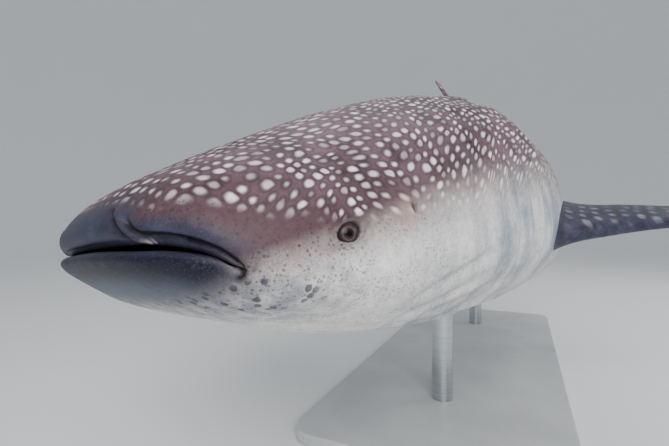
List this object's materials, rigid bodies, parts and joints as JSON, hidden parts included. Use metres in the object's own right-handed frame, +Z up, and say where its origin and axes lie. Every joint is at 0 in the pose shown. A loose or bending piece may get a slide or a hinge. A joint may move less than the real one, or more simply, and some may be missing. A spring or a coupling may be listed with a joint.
{
  "type": "whale shark display model",
  "caption": "Life-size still model of a young swimming whale shark, gently bent and banked, held over a flat base by two rods.",
  "frame": {"origin": "on the underside of the stand base, 2.35 m behind the snout tip along the line of the head", "axes": "+X from the snout towards the tail, -Y the shark's left side, +Z up"},
  "size_m": [5.997, 2.874, 2.3074],
  "materials": {
    "skin": "satin skin, grey-brown back with pale spots over a white belly",
    "eye": "gloss, dark",
    "stand_base": "fine satin paint",
    "stand_rod": "brushed"
  },
  "bodies": {
    "root": {"head": "skin", "lower_jaw": "skin", "gills": "skin", "torso": "skin", "tail": "skin", "first_dorsal_fin": "skin", "second_dorsal_fin": "skin", "anal_fin": "skin", "caudal_upper_lobe": "skin", "caudal_lower_lobe": "skin", "pectoral_fin_left": "skin", "pectoral_fin_right": "skin", "pelvic_fin_left": "skin", "pelvic_fin_right": "skin", "eye_left": "eye", "eye_right": "eye", "stand_base": "stand_base", "stand_rod_front": "stand_rod", "stand_rod_rear": "stand_rod"}
  },
  "joints": []
}
